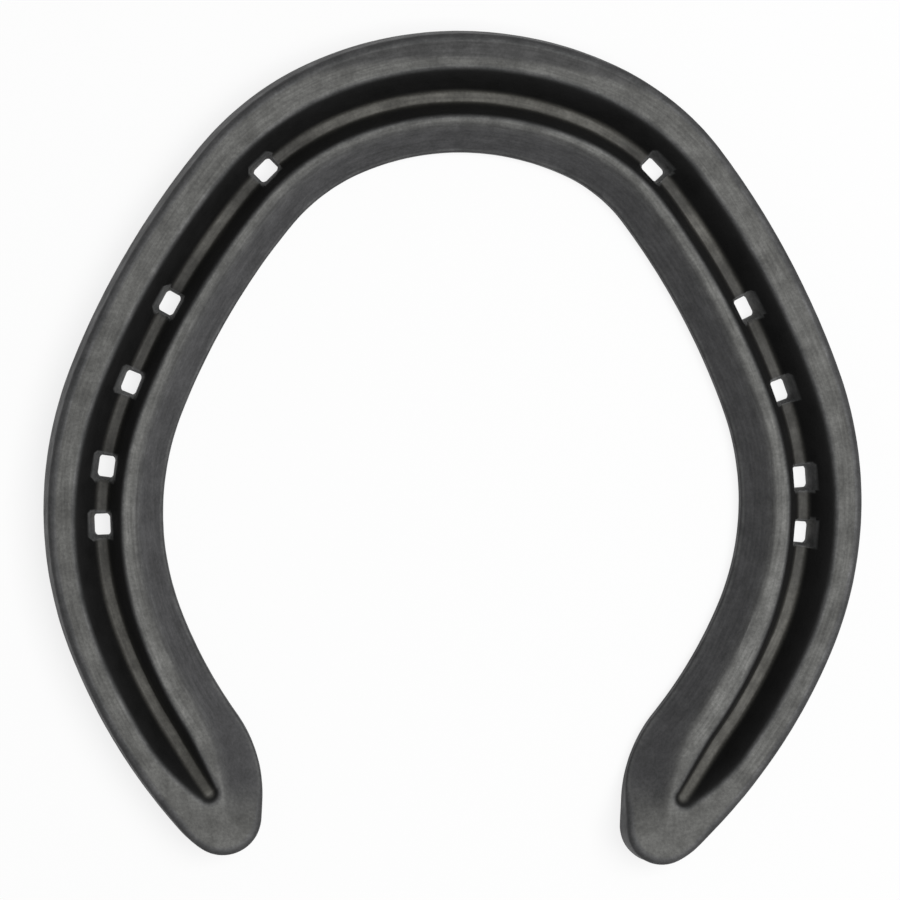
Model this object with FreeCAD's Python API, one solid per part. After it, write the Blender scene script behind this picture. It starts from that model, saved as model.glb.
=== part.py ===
import FreeCAD, Part
import math
import os

from FreeCAD import Vector

# A front horseshoe: one forged steel bar, turned to shape, creased from heel to heel and punched for ten nails.
# Millimetres and degrees. +Y is the toe, +Z the ground side; z = 0 is the face that lies on the hoof.

# --- the bar ---
BAR_THICKNESS = 8.0
WALL_DRAFT = 0.55
EDGE_RADIUS = 0.9
TOE_Y = 67.0
TOE_WEB = 19.45

# --- the outline from the toe centre to the heel, one set of sizes for each branch ---
# The heel tip's two radii are shares of the web, so that a narrower bar gets a narrower tip.
LEFT = {
    "turn": 1,
    "web": 19.1,
    "toe_radius": 58.8,
    "toe_sweep": 26.7,
    "shoulder_radius": 48.8,
    "shoulder_sweep": 26.4,
    "quarter_radius": 130.9,
    "quarter_sweep": 17.9,
    "wide_radius": 63.3,
    "wide_sweep": 42.4,
    "heel_radius": 95.1,
    "heel_sweep": 20.8,
    "tip_outer_share": 0.691,
    "tip_outer_sweep": 18.0,
    "tip_inner_share": 0.34,
    "heel_corner_radius": 22.4,
    "crease_length": 171.0,
    "nail_stations": (45.0, 74.2, 89.5, 106.0, 117.0),
}
RIGHT = {
    "turn": -1,
    "web": 19.45,
    "toe_radius": 60.9,
    "toe_sweep": 22.1,
    "shoulder_radius": 44.0,
    "shoulder_sweep": 28.3,
    "quarter_radius": 136.4,
    "quarter_sweep": 17.0,
    "wide_radius": 62.9,
    "wide_sweep": 43.1,
    "heel_radius": 93.7,
    "heel_sweep": 23.3,
    "tip_outer_share": 0.694,
    "tip_outer_sweep": 18.4,
    "tip_inner_share": 0.308,
    "heel_corner_radius": 23.8,
    "crease_length": 168.5,
    "nail_stations": (40.0, 70.0, 85.8, 103.0, 113.5),
}
STRETCHES = ("toe", "shoulder", "quarter", "wide", "heel")

# --- the crease ---
CREASE_DEPTH = 5.2
CREASE_WIDTH = 7.4
CREASE_OFFSET = 8.45
CREASE_TOE_OFFSET = 9.7
FLOOR_WIDTH = 1.9
FLOOR_SHIFT = 0.8
CREASE_HEEL_WIDTH = 6.5
CREASE_RUN_OUT = 12.0
CREASE_TIP_WIDTH = 2.2
CREASE_TIP_FLOOR = 1.3
CREASE_TIP_DEPTH = 0.5
CREASE_HEEL_SECTIONS = 5
CREASE_TIP_SECTIONS = 4

# --- the concave inner bevel, which starts beyond the rim that stands inside the crease ---
INNER_RIM = 2.35
BEVEL_WIDTH = min(LEFT["web"], RIGHT["web"]) - CREASE_OFFSET - CREASE_WIDTH / 2 - INNER_RIM
BEVEL_LAND = 2.0
BEVEL_SAG = 0.45
BEVEL_RUN_OUT_SWEEP = 14.0

# --- the rolled toe ---
ROLL_WIDTH = 4.2
ROLL_DROP = 0.8
ROLL_RADIUS = 90.0
ROLL_SWEEP = 80.0

# --- the nail holes: (across the bar, along the bar) ---
NAIL_THROAT = (2.7, 3.6)
NAIL_MOUTH = (4.0, 6.2)
NAIL_THROAT_TOP = 1.8
NAIL_MOUTH_HEIGHT = 5.6
NAIL_PITCH = 6.0

# --- how far a cutting tool stands clear of the bar ---
OVERCUT = 1.0
TOOL_REACH = 4.0

UP = Vector(0, 0, 1)


class Bend:
    """An arc of the plan: a centre, a radius, the angle it starts at and a signed sweep."""

    def __init__(self, centre, radius, start, sweep):
        self.centre = centre
        self.radius = radius
        self.start = start
        self.sweep = sweep

    def angle(self, fraction):
        return math.radians(self.start + fraction * self.sweep)

    def point(self, fraction, radius=None):
        reach = self.radius if radius is None else radius
        a = self.angle(fraction)
        return self.centre + Vector(reach * math.cos(a), reach * math.sin(a), 0)

    def edge(self, growth, z):
        radius = self.radius + growth
        ends = [self.point(f, radius) + Vector(0, 0, z) for f in (0.0, 0.5, 1.0)]
        return Part.Arc(*ends).toShape()


def bend_from(point, heading, radius, turn, sweep):
    """The arc that leaves a point along a heading and turns left (1) or right (-1)."""
    start = heading - turn * 90.0
    a = math.radians(start)
    centre = point - Vector(radius * math.cos(a), radius * math.sin(a), 0)
    return Bend(centre, radius, start, turn * sweep)


def path(branch, start_y, offset):
    """The tangent arcs of one branch, all of them offset inside the outer edge."""
    point = Vector(0, start_y, 0)
    heading = 90.0 + branch["turn"] * 90.0
    bends = []
    for stretch in STRETCHES:
        radius = branch[stretch + "_radius"] - offset
        sweep = branch[stretch + "_sweep"]
        bend = bend_from(point, heading, radius, branch["turn"], sweep)
        bends.append(bend)
        point = bend.point(1.0)
        heading += branch["turn"] * sweep
    return bends, point, heading


def branch_bends(branch):
    """One branch's outline in order: the outer bends with the heel's, the heel's corner and the inner bends."""
    turn = branch["turn"]
    outer, point, heading = path(branch, TOE_Y, 0.0)
    outer_radius = branch["web"] * branch["tip_outer_share"]
    inner_radius = branch["web"] * branch["tip_inner_share"]
    tip_outer = bend_from(point, heading, outer_radius, turn, branch["tip_outer_sweep"])
    heading += turn * branch["tip_outer_sweep"]
    to_straight = (turn * (90.0 - heading)) % 360.0
    tip_inner = bend_from(tip_outer.point(1.0), heading, inner_radius, turn, to_straight)

    inner, _, _ = path(branch, TOE_Y - TOE_WEB, branch["web"])
    heel = inner[-1]
    corner_radius = branch["heel_corner_radius"]
    across = tip_inner.point(1.0).x - turn * corner_radius - heel.centre.x
    reach = heel.radius + corner_radius
    down = math.sqrt(reach ** 2 - across ** 2)
    meeting = math.degrees(math.atan2(-down, across))
    start = 90.0 - turn * 90.0
    corner_sweep = (turn * (meeting + 180.0 - start)) % 360.0
    centre = heel.centre + Vector(across, -down, 0)
    corner = Bend(centre, corner_radius, start, turn * corner_sweep)
    inner[-1] = Bend(heel.centre, heel.radius, heel.start, turn * ((turn * (meeting - heel.start)) % 360.0))
    return outer + [tip_outer, tip_inner], corner, inner


def branch_outline(branch, inset, z):
    """The edges of one branch from the toe's outer edge, round the heel, to the toe's inner edge."""
    outer, corner, inner = branch_bends(branch)
    edges = [bend.edge(-inset, z) for bend in outer]
    straight_start = outer[-1].point(1.0, outer[-1].radius - inset) + Vector(0, 0, z)
    straight_end = corner.point(0.0, corner.radius - inset) + Vector(0, 0, z)
    edges.append(Part.LineSegment(straight_start, straight_end).toShape())
    edges.append(corner.edge(-inset, z))
    backwards = [Bend(b.centre, b.radius, b.start + b.sweep, -b.sweep) for b in reversed(inner)]
    edges += [bend.edge(inset, z) for bend in backwards]
    return edges


def outline(inset, z):
    """The closed outline of the shoe at a height, pulled in by an inset."""
    left = branch_outline(LEFT, inset, z)
    right = branch_outline(RIGHT, inset, z)
    return Part.Wire(left + list(reversed(right)))


def section(bend, fraction, profile):
    """A closed profile of (distance from the bend's centre, z) points, stood across a bend."""
    points = [bend.point(fraction, r) + Vector(0, 0, z) for r, z in profile]
    return Part.makePolygon(points + points[:1])


def crease_profile(radius, width, floor_width, depth):
    """The crease's cross-section about a bend's radius, open above the bar."""
    top = BAR_THICKNESS + OVERCUT
    floor = BAR_THICKNESS - depth
    share = depth / CREASE_DEPTH
    middle = radius - FLOOR_SHIFT * share
    return [
        (radius + width / 2, top),
        (radius + width / 2, BAR_THICKNESS),
        (middle + floor_width / 2, floor),
        (middle - floor_width / 2, floor),
        (radius - width / 2, BAR_THICKNESS),
        (radius - width / 2, top),
    ]


def blend(a, b, fraction):
    return a + (b - a) * fraction


def crease_tools(branch):
    """The solids that cut one branch's crease: swept bends, then a heel part that narrows and runs out."""
    bends, _, _ = path(branch, TOE_Y - CREASE_TOE_OFFSET, CREASE_OFFSET)
    tools = []
    for bend in bends[:-1]:
        profile = crease_profile(bend.radius, CREASE_WIDTH, FLOOR_WIDTH, CREASE_DEPTH)
        face = Part.Face(section(bend, 0.0, profile))
        tools.append(face.revolve(bend.centre, UP, bend.sweep))

    heel = bends[-1]
    lengths = [math.radians(branch[s + "_sweep"]) * branch[s + "_radius"] for s in STRETCHES]
    start = sum(lengths[:-1])
    tip = (branch["crease_length"] - start) / lengths[-1]
    full = (branch["crease_length"] - CREASE_RUN_OUT - start) / lengths[-1]
    wires = []
    for i in range(CREASE_HEEL_SECTIONS + 1):
        share = i / CREASE_HEEL_SECTIONS
        width = blend(CREASE_WIDTH, CREASE_HEEL_WIDTH, share)
        profile = crease_profile(heel.radius, width, FLOOR_WIDTH, CREASE_DEPTH)
        wires.append(section(heel, full * share, profile))
    for i in range(1, CREASE_TIP_SECTIONS + 1):
        share = i / CREASE_TIP_SECTIONS
        narrowing = share ** 1.5
        width = blend(CREASE_HEEL_WIDTH, CREASE_TIP_WIDTH, narrowing)
        floor_width = blend(FLOOR_WIDTH, CREASE_TIP_FLOOR, narrowing)
        depth = blend(CREASE_DEPTH, CREASE_TIP_DEPTH, narrowing)
        profile = crease_profile(heel.radius, width, floor_width, depth)
        wires.append(section(heel, blend(full, tip, share), profile))
    tools.append(Part.makeLoft(wires, True, True))
    return tools


def bevel_tools(branch):
    """The solids that hollow the inner edge, running straight on past the heel's corner."""
    bends, _, _ = path(branch, TOE_Y - TOE_WEB, branch["web"])
    last = bends[-1]
    run_out = branch["turn"] * BEVEL_RUN_OUT_SWEEP
    bends[-1] = Bend(last.centre, last.radius, last.start, last.sweep + run_out)
    tools = []
    for bend in bends:
        low = bend.point(0.0) + Vector(0, 0, BEVEL_LAND)
        high = bend.point(0.0, bend.radius + BEVEL_WIDTH) + Vector(0, 0, BAR_THICKNESS)
        slope = high - low
        outward = (bend.point(0.0) - bend.centre).normalize()
        hollow = Vector(0, 0, -slope.dot(outward)) + outward * slope.z
        middle = (low + high) / 2 + hollow.normalize() * BEVEL_SAG
        lift = Vector(0, 0, OVERCUT)
        clear_low = low - outward * TOOL_REACH
        clear_high = Vector(clear_low.x, clear_low.y, BAR_THICKNESS + OVERCUT)
        wire = Part.Wire([
            Part.Arc(low, middle, high).toShape(),
            Part.LineSegment(high, high + lift).toShape(),
            Part.LineSegment(high + lift, clear_high).toShape(),
            Part.LineSegment(clear_high, clear_low).toShape(),
            Part.LineSegment(clear_low, low).toShape(),
        ])
        tools.append(Part.Face(wire).revolve(bend.centre, UP, bend.sweep))
    return tools


def roll_tool():
    """A shallow cone that rolls the toe's outer edge away from the ground."""
    centre = Vector(0, TOE_Y - ROLL_WIDTH - ROLL_RADIUS, 0)
    arc = Bend(centre, ROLL_RADIUS, 90.0 - ROLL_SWEEP / 2, ROLL_SWEEP)
    reach = ROLL_RADIUS + ROLL_WIDTH + TOOL_REACH
    low = BAR_THICKNESS - ROLL_DROP * (ROLL_WIDTH + TOOL_REACH) / ROLL_WIDTH
    top = BAR_THICKNESS + OVERCUT
    profile = [(ROLL_RADIUS, BAR_THICKNESS), (reach, low), (reach, top), (ROLL_RADIUS, top)]
    return Part.Face(section(arc, 0.0, profile)).revolve(centre, UP, arc.sweep)


def station(branch, length):
    """The outer edge's point, its inward direction and the angle turned, a length along from the toe."""
    bends, _, _ = path(branch, TOE_Y, 0.0)
    turned = 0.0
    left = length
    for bend in bends:
        reach = abs(math.radians(bend.sweep)) * bend.radius
        if left <= reach:
            break
        left -= reach
        turned += abs(bend.sweep)
    fraction = left / reach
    point = bend.point(fraction)
    inward = (bend.centre - point).normalize()
    return point, inward, turned + abs(bend.sweep) * fraction


def nail_tool(branch, length):
    """A nail hole: a tapered seat for the head above a straight throat, pitched in towards the hoof."""
    point, inward, turned = station(branch, length)
    shift = (CREASE_TOE_OFFSET - CREASE_OFFSET) * math.cos(math.radians(turned))
    floor = BAR_THICKNESS - CREASE_DEPTH
    centre = point + inward * (CREASE_OFFSET + shift + FLOOR_SHIFT)
    along = UP.cross(inward)
    rings = []
    for z, size in (
        (-OVERCUT, NAIL_THROAT),
        (NAIL_THROAT_TOP, NAIL_THROAT),
        (NAIL_MOUTH_HEIGHT, NAIL_MOUTH),
    ):
        lean = -inward * (z - floor) * math.tan(math.radians(NAIL_PITCH))
        middle = centre + lean + Vector(0, 0, z)
        a = inward * (size[0] / 2)
        b = along * (size[1] / 2)
        corners = [middle - a - b, middle + a - b, middle + a + b, middle - a + b]
        rings.append(Part.makePolygon(corners + corners[:1]))
    return Part.makeLoft(rings, True, True)


def rounding_face(bend, fraction):
    """What is cut from a square edge to leave it rounded, stood across a bend."""
    outward = (bend.point(fraction) - bend.centre).normalize()
    wall = bend.radius - WALL_DRAFT
    start = bend.point(fraction, wall - EDGE_RADIUS) + Vector(0, 0, BAR_THICKNESS)
    end = bend.point(fraction, wall) + Vector(0, 0, BAR_THICKNESS - EDGE_RADIUS)
    centre = start - Vector(0, 0, EDGE_RADIUS)
    middle = centre + (outward + UP).normalize() * EDGE_RADIUS
    clear_end = end + outward * TOOL_REACH
    clear_start = start + Vector(0, 0, OVERCUT)
    corner = Vector(clear_end.x, clear_end.y, clear_start.z)
    return Part.Face(Part.Wire([
        Part.Arc(start, middle, end).toShape(),
        Part.LineSegment(end, clear_end).toShape(),
        Part.LineSegment(clear_end, corner).toShape(),
        Part.LineSegment(corner, clear_start).toShape(),
        Part.LineSegment(clear_start, start).toShape(),
    ]))


def rounding_tools(branch):
    """The solids that round the ground side's outer edge from the toe to the heel's corner."""
    outer, corner, _ = branch_bends(branch)
    tools = [rounding_face(bend, 0.0).revolve(bend.centre, UP, bend.sweep) for bend in outer + [corner]]
    straight = corner.point(0.0) - outer[-1].point(1.0)
    tools.append(rounding_face(outer[-1], 1.0).extrude(straight))
    return tools


def horseshoe():
    """The whole shoe, one solid."""
    body = Part.makeLoft([outline(0.0, 0.0), outline(WALL_DRAFT, BAR_THICKNESS)], True, True)
    tools = [roll_tool()]
    for branch in (LEFT, RIGHT):
        tools += rounding_tools(branch)
        tools += bevel_tools(branch)
        tools += crease_tools(branch)
        tools += [nail_tool(branch, length) for length in branch["nail_stations"]]
    for tool in tools:
        body = body.cut(tool)
    return body


shoe = horseshoe()
os.makedirs("parts", exist_ok=True)
shoe.exportStep("parts/horseshoe.step")
box = shoe.BoundBox
print("solids", len(shoe.Solids), "faces", len(shoe.Faces), "valid", shoe.isValid())
print("volume", round(shoe.Volume, 1))
print("x", round(box.XMin, 3), round(box.XMax, 3), "y", round(box.YMin, 3), round(box.YMax, 3))
print("z", round(box.ZMin, 3), round(box.ZMax, 3))
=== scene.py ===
"""A front horseshoe of creased concave bar, ground side up, in dark forged steel.

The bar is built as one closed skin that follows the outline, round both heels. It is then given the
unevenness that forging leaves, ten nail holes are punched through it, and it is finished in its mill scale.
"""

import logging
import math
from dataclasses import dataclass
from enum import Enum

import bpy
import numpy as np
from mathutils import Matrix, Vector
from mathutils.kdtree import KDTree


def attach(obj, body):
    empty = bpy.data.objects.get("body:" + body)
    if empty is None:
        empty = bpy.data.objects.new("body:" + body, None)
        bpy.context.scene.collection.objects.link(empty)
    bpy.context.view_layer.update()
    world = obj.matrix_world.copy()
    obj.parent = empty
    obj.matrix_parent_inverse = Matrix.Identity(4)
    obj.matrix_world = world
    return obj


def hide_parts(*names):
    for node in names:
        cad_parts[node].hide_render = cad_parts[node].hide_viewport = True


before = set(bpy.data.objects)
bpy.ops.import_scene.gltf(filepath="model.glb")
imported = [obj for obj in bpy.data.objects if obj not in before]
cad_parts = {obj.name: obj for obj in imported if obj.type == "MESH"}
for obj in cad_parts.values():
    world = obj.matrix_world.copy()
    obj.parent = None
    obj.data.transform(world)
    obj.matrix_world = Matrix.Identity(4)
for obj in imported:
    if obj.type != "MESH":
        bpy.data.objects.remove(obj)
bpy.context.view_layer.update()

MM = 0.001
# The spacing of the points of round_heel's outline, in millimetres: for distances, and for places.
COARSE_STEP = 0.5
FINE_STEP = 0.1
# The narrowest and the widest that a line across the bar can be, in millimetres.
BAR_WIDTHS = (8.0, 32.0)
# The share of the bevel's width that stands for a point on the other half of the bar.
FAR_PAST_BEVEL = 9.0
NEARLY_ZERO = 1e-9
NO_DIVISION_BY_ZERO = 1e-12
# How far the punch's round blank reaches past its square, so that squaring it leaves small round corners.
CORNER_REACH = 1.25
PUNCH_SIDES = 32
# The edges that are sharper than this, in degrees, aren't shaded smooth.
SHARP_ANGLE = 40.0
WHITE = (1.0, 1.0, 1.0, 1.0)
# Points nearer than this, in millimetres, are merged where the skin meets itself.
SEAM = 0.002

Array = np.ndarray
Rows = dict[str, np.ndarray]
Socket = bpy.types.NodeSocket

log = logging.getLogger("horseshoe")


class Side(Enum):
    """A branch of the shoe, seen from the ground side; the value is the way it turns from the toe."""

    LEFT = 1
    RIGHT = -1


# --- Rules of shape ---


def smooth_min(a: Array, b: Array, softness: float) -> Array:
    """The lower of two heights, with the corner between them rounded.

    Args:
        a: Heights, in millimetres.
        b: Heights of the same shape, or one that broadcasts to it.
        softness: How far apart the heights are where the rounding starts, in millimetres.

    Returns:
        The rounded minimum.
    """
    share = np.maximum(softness - np.abs(a - b), 0.0) / softness
    return np.minimum(a, b) - share * share * softness / 4.0


def smooth_max(a: Array, b: Array, softness: float) -> Array:
    """The higher of two heights, rounded like smooth_min."""
    return -smooth_min(-a, -b, softness)


def smooth_step(low: float, high: float, value: Array) -> Array:
    """A rise from 0 at low to 1 at high that starts and ends level."""
    share = np.clip((value - low) / (high - low), 0.0, 1.0)
    return share * share * (3.0 - 2.0 * share)


def blend(a: Array | float, b: Array | float, share: Array | float) -> Array | float:
    """The value a share of the way from a to b."""
    return a + (b - a) * share


@dataclass(frozen=True)
class Bend:
    """An arc of the plan, in millimetres and degrees.

    Attributes:
        centre: The arc's centre.
        radius: Its radius.
        start: The angle, seen from the centre, at which it starts.
        sweep: How far it turns; positive is anticlockwise.
    """

    centre: tuple[float, float]
    radius: float
    start: float
    sweep: float

    @property
    def length(self) -> float:
        """The arc's length."""
        return abs(math.radians(self.sweep)) * self.radius

    def points(self, shares: Array) -> Array:
        """Points at shares of the sweep, one to a row."""
        angle = np.radians(self.start + self.sweep * shares)
        return np.array(self.centre) + self.radius * np.stack([np.cos(angle), np.sin(angle)], axis=1)

    def inward(self, shares: Array) -> Array:
        """Unit vectors from the arc towards its centre, at shares of the sweep."""
        angle = np.radians(self.start + self.sweep * shares)
        return -np.stack([np.cos(angle), np.sin(angle)], axis=1)

    def end(self) -> tuple[float, float]:
        """The arc's last point."""
        x, y = self.points(np.array([1.0]))[0]
        return float(x), float(y)

    @staticmethod
    def leaving(point: tuple[float, float], heading: float, radius: float, turn: int, sweep: float) -> "Bend":
        """The arc that leaves a point along a heading.

        Args:
            point: Where it starts.
            heading: The direction of travel, in degrees.
            radius: Its radius.
            turn: 1 to turn left, -1 to turn right.
            sweep: How far it turns, unsigned.

        Returns:
            The arc.
        """
        start = heading - turn * 90.0
        angle = math.radians(start)
        centre = (point[0] - radius * math.cos(angle), point[1] - radius * math.sin(angle))
        return Bend(centre, radius, start, turn * sweep)


@dataclass(frozen=True)
class BranchSizes:
    """One branch's sizes: the outer edge's arcs from the toe, the web, the heel's tip and the nail holes.

    Attributes:
        side: Which branch it is.
        radii: The outer edge's radii from the toe: toe, shoulder, quarter, widest part and heel.
        sweeps: How far each of those arcs turns.
        web: The bar's width at the quarter.
        tip_radii: The radii of the heel's two tip arcs, outer and inner.
        tip_sweep: How far the outer tip arc turns.
        corner_radius: The rounding between the inner edge and the heel's straight inner side.
        crease_length: How far along the outer edge the crease's tip lies.
        nail_stations: Where the nail holes lie along the outer edge.
    """

    side: Side
    radii: tuple[float, ...]
    sweeps: tuple[float, ...]
    web: float
    tip_radii: tuple[float, float]
    tip_sweep: float
    corner_radius: float
    crease_length: float
    nail_stations: tuple[float, ...]


@dataclass(frozen=True)
class CreaseSizes:
    """The crease's sizes, in millimetres.

    Attributes:
        depth: Its depth.
        width: Its width at the ground face.
        offset: Where its middle lies from the outer edge, at the quarter.
        toe_offset: The same at the toe.
        floor_width: Its flat floor's width.
        floor_shift: How far the floor lies inwards of the middle.
        heel_width: Its width at the heel.
        heel_start: How far before the heel's arc it starts to narrow to that.
        run_out: The length of the run-out at its tip.
        run_out_power: How late along the run-out it closes in.
        tip_width: The tip's width.
        tip_floor: The floor's width at the tip.
        tip_depth: The depth at the tip.
        brink_blend: The rounding of its brink, measured upright.
        foot_blend: The rounding at its foot, measured upright.
    """

    depth: float = 5.2
    width: float = 7.4
    offset: float = 8.45
    toe_offset: float = 9.7
    floor_width: float = 1.9
    floor_shift: float = 0.8
    heel_width: float = 6.5
    heel_start: float = 15.0
    run_out: float = 12.0
    run_out_power: float = 1.5
    tip_width: float = 3.1
    tip_floor: float = 1.5
    tip_depth: float = 1.2
    brink_blend: float = 0.9
    foot_blend: float = 0.7


@dataclass(frozen=True)
class BarSizes:
    """The bar's cross-section, in millimetres.

    Attributes:
        thickness: From the hoof face to the ground face.
        draft: How far the walls lean in over the whole thickness.
        toe_y: Where the toe's outer edge lies.
        toe_web: The bar's width at the toe.
        outer_round: The radius of the ground side's outer edge.
        inner_round: The radius of the land's edge below the bevel.
        hoof_round: The radius of the hoof face's edges.
        bevel_width: The width of the concave inner bevel.
        bevel_land: The wall left standing below the bevel.
        bevel_sag: How hollow the bevel is, measured upright.
        roll_width: How wide the rolled toe is at its middle.
        roll_drop: How far it falls over that width.
        roll_radius: The radius of the line where the roll starts.
        roll_blend: The rounding of that line, measured upright.
        bevel_fade: Where the bevel is gone and where it is whole, from the heel's corner towards the toe.
        bevel_heel_width: The bevel's width at the heel.
        bevel_spread: Where it has that width, and where its plain width, measured the same way.
        bevel_blend: The rounding between bevel and ground face, measured upright.
    """

    thickness: float = 8.0
    draft: float = 0.55
    toe_y: float = 67.0
    toe_web: float = 19.45
    outer_round: float = 1.1
    inner_round: float = 0.35
    hoof_round: float = 0.4
    bevel_width: float = 4.6
    bevel_land: float = 2.0
    bevel_sag: float = 0.74
    roll_width: float = 4.2
    roll_drop: float = 0.8
    roll_radius: float = 90.0
    roll_blend: float = 0.16
    bevel_fade: tuple[float, float] = (-7.0, 6.0)
    bevel_heel_width: float = 6.5
    bevel_spread: tuple[float, float] = (6.0, 22.0)
    bevel_blend: float = 0.6


@dataclass(frozen=True)
class ToneSizes:
    """Where the skin's tones start and are whole, in millimetres unless a line says otherwise.

    Attributes:
        wall: Where the crease's near-black tone starts and is whole, from its brink: painted shade, with some
            darker scale.
        floor: Where the floor's own tone takes over from that near-black painted shade, from the wall's foot.
        by_nail: Where the floor's own tone starts beside a nail hole, from the hole's middle along the bar;
            nearer, the crease's painted shade stays.
        among_nails: Where the floor is painted darker as between nails, and where it isn't, from the nearest.
        nail_gap_shade: How much darker the floor is painted there, as a share: painted shade.
        rim: The end of the rubbed rim, from the brink.
        bevel: Where the bevel's painted shade ends, in shares of its width.
        bevel_fade_power: How soon the bevel's painted shade fades at the heel.
        crest_highlight: Where the painted highlight on the narrow land beside the crease starts and is whole,
            in shares of the bevel's width.
        crest_start: The same for that painted highlight along the bar, from the crease's tip.
        margin: Where the painted shade along the outer edge ends, from that edge.
        roll: Where the rolled toe's painted shade starts and is whole, from the line where the roll starts.
        round_tip: Where the painted shade along the outer edge ends round the tip, in shares of the way from
            the outer to the inner side.
        edge: How much of the side's painted shade the last levels of the ground side's edge have.
        streaks: The streaks along the bar, from the crease's tip.
    """

    wall: tuple[float, float] = (-0.55, 0.3)
    floor: tuple[float, float] = (-0.5, 0.45)
    by_nail: tuple[float, float] = (2.0, 3.0)
    among_nails: tuple[float, float] = (7.0, 13.0)
    nail_gap_shade: float = 0.5
    rim: tuple[float, float] = (-0.9, -0.1)
    bevel: tuple[float, float] = (0.7, 1.2)
    bevel_fade_power: int = 2
    crest_highlight: tuple[float, float] = (1.05, 1.4)
    crest_start: tuple[float, float] = (1.0, 9.0)
    margin: tuple[float, float] = (0.9, 2.2)
    roll: tuple[float, float] = (-0.8, 0.6)
    round_tip: tuple[float, float] = (0.4, 0.6)
    edge: tuple[float, float, float] = (0.75, 0.45, 0.15)
    streaks: tuple[float, float] = (0.0, 15.0)


@dataclass(frozen=True)
class Levels:
    """How finely a row of the skin is divided, from the middle of the hoof face to the middle of the crease.

    Attributes:
        hoof_shares: The hoof face's levels, in shares of the way from its edge to its middle.
        hoof_angles: The levels round the hoof face's edge, in degrees.
        side_shares: The side's levels, in shares of its height.
        edge_angles: The levels round the ground side's edge, in degrees.
        rim: How many levels the ground side has before the crease's brink.
        brink: How many round the brink.
        wall: How many on the crease's wall.
        foot: How many round the wall's foot.
        floor: How many from there to the middle.
        lip: Half the widest width of brink and foot, in millimetres.
        lip_share: The same in shares of the wall's width.
        foot_share: How far the foot's levels pass the foot, in shares of that half.
        edge_rounds: How often the height of the leaning side's edge is worked out anew.
    """

    hoof_shares: tuple[float, ...] = (1.0, 0.82, 0.64, 0.46, 0.28, 0.12)
    hoof_angles: tuple[float, ...] = (0.0, 30.0, 60.0, 90.0)
    side_shares: tuple[float, ...] = (0.25, 0.5, 0.75, 1.0)
    edge_angles: tuple[float, ...] = (18.0, 36.0, 54.0, 72.0, 90.0)
    rim: int = 18
    brink: int = 5
    wall: int = 5
    foot: int = 4
    floor: int = 3
    lip: float = 0.5
    lip_share: float = 0.3
    foot_share: float = 0.6
    edge_rounds: int = 4


LEFT_BRANCH = BranchSizes(
    side=Side.LEFT,
    radii=(58.8, 48.8, 130.9, 63.3, 95.1),
    sweeps=(26.7, 26.4, 17.9, 42.4, 20.8),
    web=19.1,
    tip_radii=(13.2, 6.5),
    tip_sweep=18.0,
    corner_radius=22.4,
    crease_length=169.4,
    nail_stations=(45.0, 74.2, 89.5, 106.0, 117.0),
)
RIGHT_BRANCH = BranchSizes(
    side=Side.RIGHT,
    radii=(60.9, 44.0, 136.4, 62.9, 93.7),
    sweeps=(22.1, 28.3, 17.0, 43.1, 23.3),
    web=19.45,
    tip_radii=(13.5, 6.0),
    tip_sweep=18.4,
    corner_radius=23.8,
    crease_length=166.9,
    nail_stations=(40.0, 70.0, 85.8, 103.0, 113.5),
)


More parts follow.
